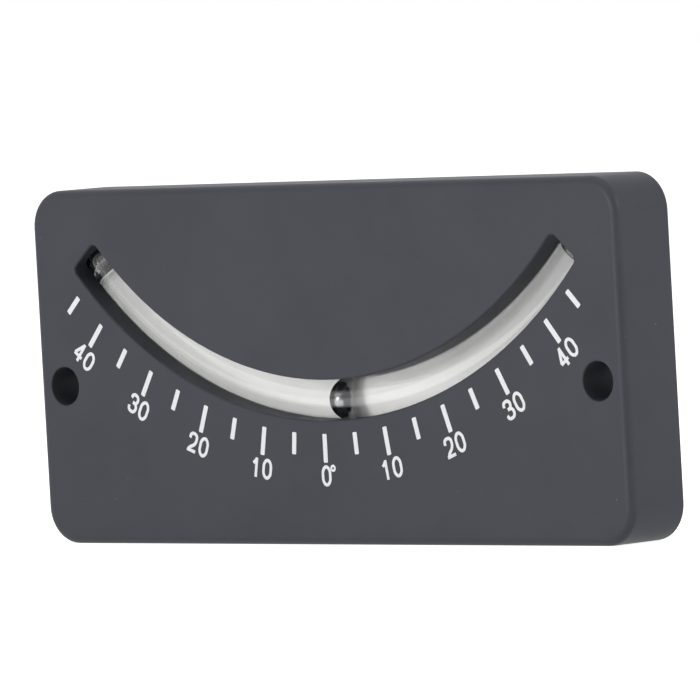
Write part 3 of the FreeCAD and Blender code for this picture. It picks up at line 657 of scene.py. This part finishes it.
def own_copy(original):
    """A copy of a piece with a mesh of its own."""
    twin = original.copy()
    twin.data = original.data.copy()
    bpy.context.collection.objects.link(twin)
    return twin


highlight_cement = cement_finish()
strip_low, strip_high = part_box("white_backing")
strip_arc = math.asin(strip_high.x / (arc_centre.z - strip_low.z))
bead_angle = strip_arc - CEMENT_INSET / arc_radius
for side, turn_to in zip(SIDES, (bead_angle, -bead_angle)):
    ring = own_copy(bead)
    ring.name = side + "_plug_cement_highlight"
    turn_about_arc(ring, turn_to)
    ring.data.materials.append(highlight_cement)
    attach(ring, "gauge")
bpy.data.objects.remove(bead)
print(f"cement at {math.degrees(bead_angle):.1f} degrees")

# %% [markdown]
# ## The printed scale
#
# The scale is white ink, a few hundredths of a millimetre thick. A mark stands every five degrees
# and a longer one every ten, with its number below it. One mark of each length is modelled, a
# box with rounded corners, and its copies are turned about the middle of the arc.

# %% The ink
INK_THICKNESS = 0.03 * MM
INK_SINK = 0.01 * MM

ink_middle = front_y + INK_SINK - INK_THICKNESS / 2


def white_ink():
    """Screen printed ink: white, slightly grainy, a little thin in places."""
    finish, tree, shader = new_finish("white_ink")
    place = object_place(tree)
    grain = noise(tree, place, 0.12 * MM, detail=3.0, roughness=0.6)
    plug(tree, shader.inputs["Base Color"],
         tinted(tree, grain, dark=(0.70, 0.71, 0.73), light=(0.80, 0.81, 0.83),
                spread=(0.35, 0.6)))
    plug(tree, shader.inputs["Roughness"], remap(tree, grain, *MIDDLE, 0.5, 0.66))
    plug(tree, shader.inputs["Normal"], bump(tree, grain, strength=0.4, depth=0.008 * MM))
    return finish


ink = white_ink()

# %% Make the marks
MARK_START = 65.83 * MM
MINOR_END = 68.9 * MM
MAJOR_END = 69.8 * MM
MARK_WIDTH = 0.78 * MM
MARK_CORNER = 0.16 * MM
MARK_CORNER_STEPS = 3
PRINT_SHIFT = -0.35 * MM
PRINT_TURN = math.radians(-0.156)
STEP = 5
LAST = 45

print_centre = Vector((arc_centre.x + PRINT_SHIFT, 0, arc_centre.z))


def print_turned(piece, degrees):
    """Turn a piece that was made at the lowest point of the scale to its own angle."""
    turn_mesh(piece, print_centre, -(math.radians(degrees) + PRINT_TURN), "Y")


def make_mark(name, end):
    """One mark at the lowest point of the scale, with its four corners rounded."""
    bpy.ops.object.select_all(action="DESELECT")
    middle = print_centre + Vector((0, ink_middle, -(MARK_START + end) / 2))
    bpy.ops.mesh.primitive_cube_add(size=1, location=middle,
                                    scale=(MARK_WIDTH, INK_THICKNESS, end - MARK_START))
    mark = bpy.context.object
    mark.name = name
    bpy.ops.object.transform_apply(location=True, scale=True)
    bpy.ops.object.mode_set(mode="EDIT")
    bpy.ops.mesh.select_mode(type="EDGE")
    bpy.ops.mesh.select_all(action="DESELECT")
    bpy.ops.object.mode_set(mode="OBJECT")
    for edge in mark.data.edges:
        a, b = (mark.data.vertices[index].co for index in edge.vertices)
        edge.select = abs(a.y - b.y) > INK_THICKNESS / 2
    bpy.ops.object.mode_set(mode="EDIT")
    bpy.ops.mesh.bevel(offset=MARK_CORNER, offset_type="OFFSET", segments=MARK_CORNER_STEPS,
                       affect="EDGES")
    bpy.ops.object.mode_set(mode="OBJECT")
    return mark


def copy_round(original, degrees):
    """A copy of a mark, turned to its angle."""
    twin = own_copy(original)
    print_turned(twin, degrees)
    return twin


def join(name, parts):
    """Join objects into one piece."""
    select_only(parts[0])
    for part in parts:
        part.select_set(True)
    bpy.ops.object.join()
    joined = bpy.context.object
    joined.name = name
    return joined


minor, major = make_mark("minor_mark", MINOR_END), make_mark("major_mark", MAJOR_END)
short_marks = [copy_round(minor, degrees) for degrees in range(-LAST, LAST + 1, 2 * STEP)]
long_marks = [copy_round(major, degrees) for degrees in range(STEP - LAST, LAST, 2 * STEP)]
for original in (minor, major):
    bpy.data.objects.remove(original)
marks = [join("short_marks", short_marks), join("long_marks", long_marks)]
print("marks:", len(short_marks) + len(long_marks))

# %% [markdown]
# ## The numbers
#
# The numbers are bold and a little narrow, as on most instruments. Each digit is drawn as a type
# designer sketches it, as the middle line of its strokes: a few points on a grid from -1 to 1
# across and 0 to 1 up. A small rectangle is swept along each line, which gives strokes of even
# width, as thick as the ink. "smooth" lines curve through their points, "straight" ones have
# corners, and "ring" ones are closed. Where strokes cross, a union makes one film of them: two
# faces in exactly the same place would shade each other and show as dark spots.

# %% Draw the digits
NUMBER_TOP = 70.15 * MM
NUMBER_HEIGHT = 2.95 * MM
NUMBER_WIDTH = 1.84 * MM
DIGIT_SPACE = 2.2 * MM
STROKE = 0.47 * MM
RING_SIZE = 1.0 * MM
RING_STROKE = 0.33 * MM
RING_PLACE = (1.3 * MM, -0.42 * MM)
RING_POINTS = 8
STROKE_STEPS = 8
MERGE_DISTANCE = 0.0005 * MM

OVAL = [(-1, 0.5), (-0.76, 0.86), (0, 1), (0.76, 0.86), (1, 0.5), (0.76, 0.14), (0, 0),
        (-0.76, 0.14)]
DIGITS = {
    "0": [("ring", OVAL)],
    "1": [("straight", [(0.16, -0.08), (0.16, 1.02)]),
          ("smooth", [(0.2, 0.98), (-0.2, 0.83), (-0.72, 0.68)])],
    "2": [("smooth", [(-0.94, 0.68), (-0.74, 0.92), (0, 1), (0.74, 0.92), (0.94, 0.7), (0.6, 0.42),
                      (-0.5, 0.16), (-0.9, 0)]),
          ("straight", [(-1.2, 0), (1.15, 0)])],
    "3": [("smooth", [(-0.94, 0.74), (-0.68, 0.94), (0, 1), (0.68, 0.93), (0.9, 0.76), (0.6, 0.57),
                      (-0.25, 0.53)]),
          ("smooth", [(-0.25, 0.53), (0.66, 0.47), (1, 0.27), (0.7, 0.06), (0, 0), (-0.72, 0.06),
                      (-1, 0.27)])],
    "4": [("straight", [(0.38, 1.0), (-1.05, 0.27)]),
          ("straight", [(-1.2, 0.25), (1.2, 0.25)]),
          ("straight", [(0.42, -0.08), (0.42, 1.08)])],
}


def sweep(name, kind, points, stroke):
    """A flat stroke, as thick as the ink, along points on the XY plane."""
    bpy.ops.object.select_all(action="DESELECT")
    bpy.ops.mesh.primitive_plane_add(size=1)
    section = bpy.context.object
    section.scale = (stroke, INK_THICKNESS, 1)
    bpy.ops.object.transform_apply(scale=True)
    bpy.ops.object.convert(target="CURVE")
    line = bpy.data.curves.new(name, "CURVE")
    line.dimensions = "3D"
    line.twist_mode = "Z_UP"
    line.resolution_u = STROKE_STEPS
    line.bevel_mode = "OBJECT"
    line.bevel_object = section
    line.use_fill_caps = True
    spline = line.splines.new("BEZIER")
    spline.bezier_points.add(len(points) - 1)
    for knot, (x, y) in zip(spline.bezier_points, points):
        knot.co = (x, y, 0)
        knot.handle_left_type = knot.handle_right_type = "VECTOR" if kind == "straight" else "AUTO"
    spline.use_cyclic_u = kind == "ring"
    drawn = bpy.data.objects.new(name, line)
    bpy.context.collection.objects.link(drawn)
    select_only(drawn)
    bpy.ops.object.convert(target="MESH")
    bpy.data.objects.remove(section)
    bpy.ops.object.mode_set(mode="EDIT")
    bpy.ops.mesh.select_all(action="SELECT")
    bpy.ops.mesh.remove_doubles(threshold=MERGE_DISTANCE)
    bpy.ops.mesh.normals_make_consistent(inside=False)
    bpy.ops.object.mode_set(mode="OBJECT")
    return drawn


def unite(strokes):
    """Melt the strokes of one digit together, so that they lie in one film of ink."""
    digit = strokes[0]
    for other in strokes[1:]:
        select_only(digit)
        bpy.ops.object.modifier_add(type="BOOLEAN")
        union = digit.modifiers[-1]
        union.operation = "UNION"
        union.solver = "EXACT"
        union.object = other
        bpy.ops.object.modifier_apply(modifier=union.name)
        bpy.data.objects.remove(other)
    return digit


def draw_number(text, degrees):
    """One number, laid on the face with its top towards the middle of the arc."""
    half_width, height = (NUMBER_WIDTH - STROKE) / 2, NUMBER_HEIGHT - STROKE
    parts = []
    for place, digit in enumerate(text):
        middle = (place - (len(text) - 1) / 2) * DIGIT_SPACE
        strokes = []
        for kind, line in DIGITS[digit]:
            points = [(middle + x * half_width, y * height - height - STROKE / 2) for x, y in line]
            strokes.append(sweep("stroke", kind, points, STROKE))
        parts.append(unite(strokes))
    if text == "0":
        radius = (RING_SIZE - RING_STROKE) / 2
        around = [2 * math.pi * corner / RING_POINTS for corner in range(RING_POINTS)]
        points = [(RING_PLACE[0] + radius * math.cos(angle),
                   RING_PLACE[1] + radius * math.sin(angle)) for angle in around]
        parts.append(sweep("stroke", "ring", points, RING_STROKE))
    number = join(f"number_{degrees}", parts)
    bpy.ops.object.shade_flat()
    number.data.transform(Matrix.Translation(print_centre + Vector((0, ink_middle, -NUMBER_TOP)))
                          @ Matrix.Rotation(math.pi / 2, 4, "X"))
    print_turned(number, degrees)
    return number


numbers = [draw_number(str(abs(degrees)), degrees)
           for degrees in range(STEP - LAST, LAST, 2 * STEP)]
print("numbers:", [number.name for number in numbers])
pieces = marks + [join("scale_numbers", numbers)]

# %% Put the print on the gauge
for piece in pieces:
    piece.data.materials.clear()
    piece.data.materials.append(ink)
    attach(piece, "gauge")
